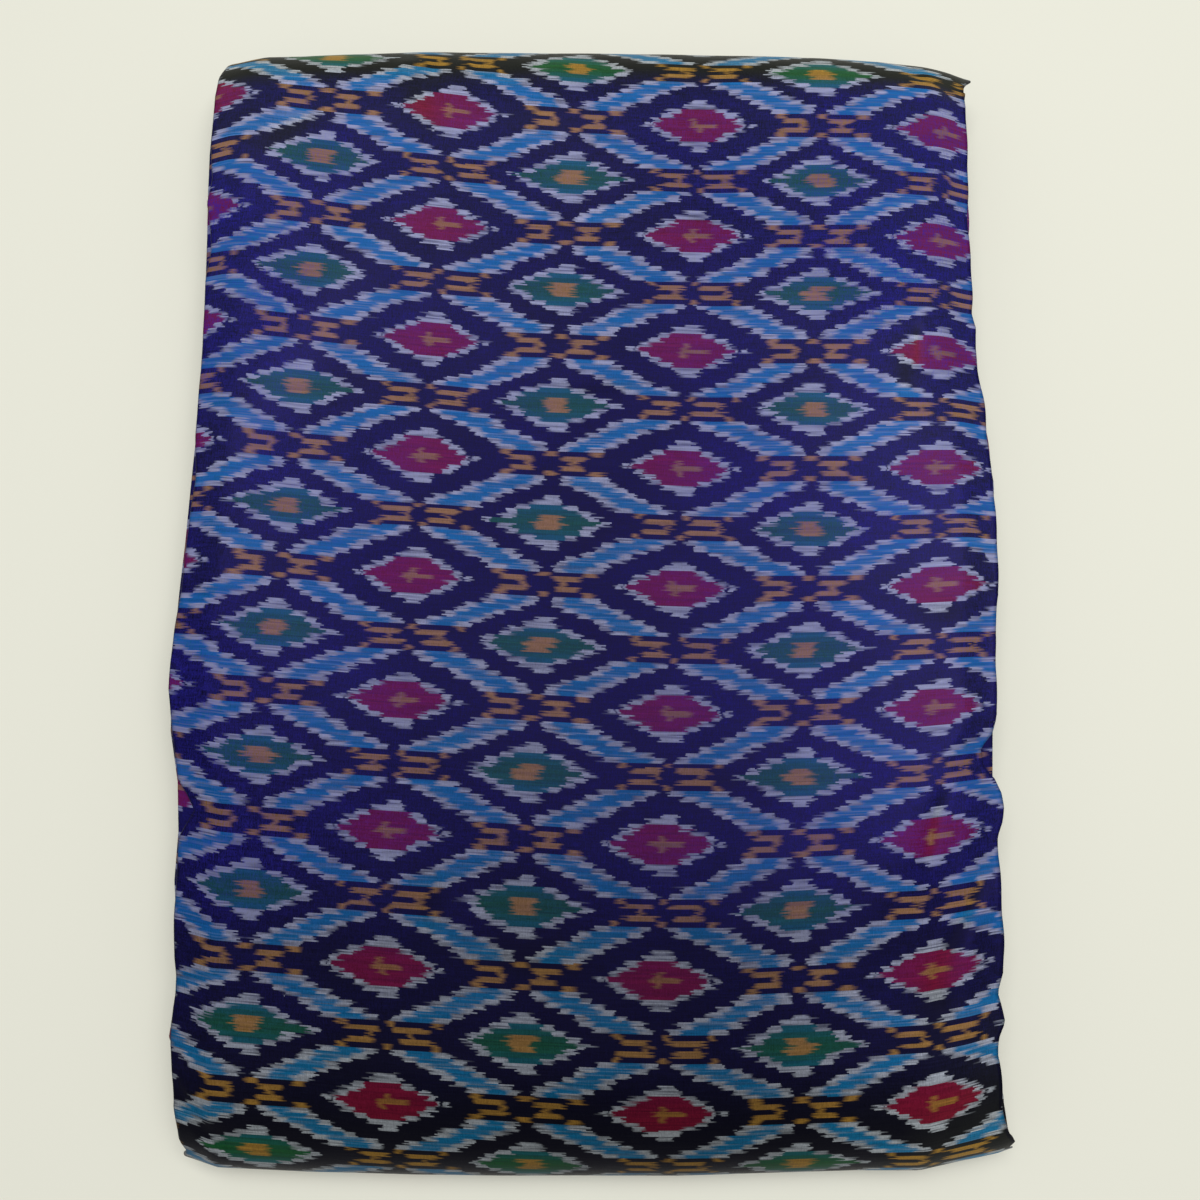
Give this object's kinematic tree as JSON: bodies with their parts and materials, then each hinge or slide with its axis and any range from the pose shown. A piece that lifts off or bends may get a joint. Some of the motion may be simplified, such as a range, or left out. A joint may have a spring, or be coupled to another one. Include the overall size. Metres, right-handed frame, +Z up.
{
  "type": "folded ikat cloth",
  "caption": "Long silk cloth with an ikat pattern, folded lengthwise and then back and forth into a flat bundle with rounded ends.",
  "frame": {"origin": "middle of the flat underside of the folded bundle", "axes": "+Z up, +Y along the warps from the near rounded end to the far one, +X along the wefts to the right"},
  "size_m": [0.2918, 0.4099, 0.0324],
  "materials": {
    "ikat_silk": "plain-woven silk, dark blue ground with ikat-dyed red, green, gold, sky blue and white, soft violet sheen"
  },
  "bodies": {
    "root": {"folded_cloth": "ikat_silk"}
  },
  "joints": []
}
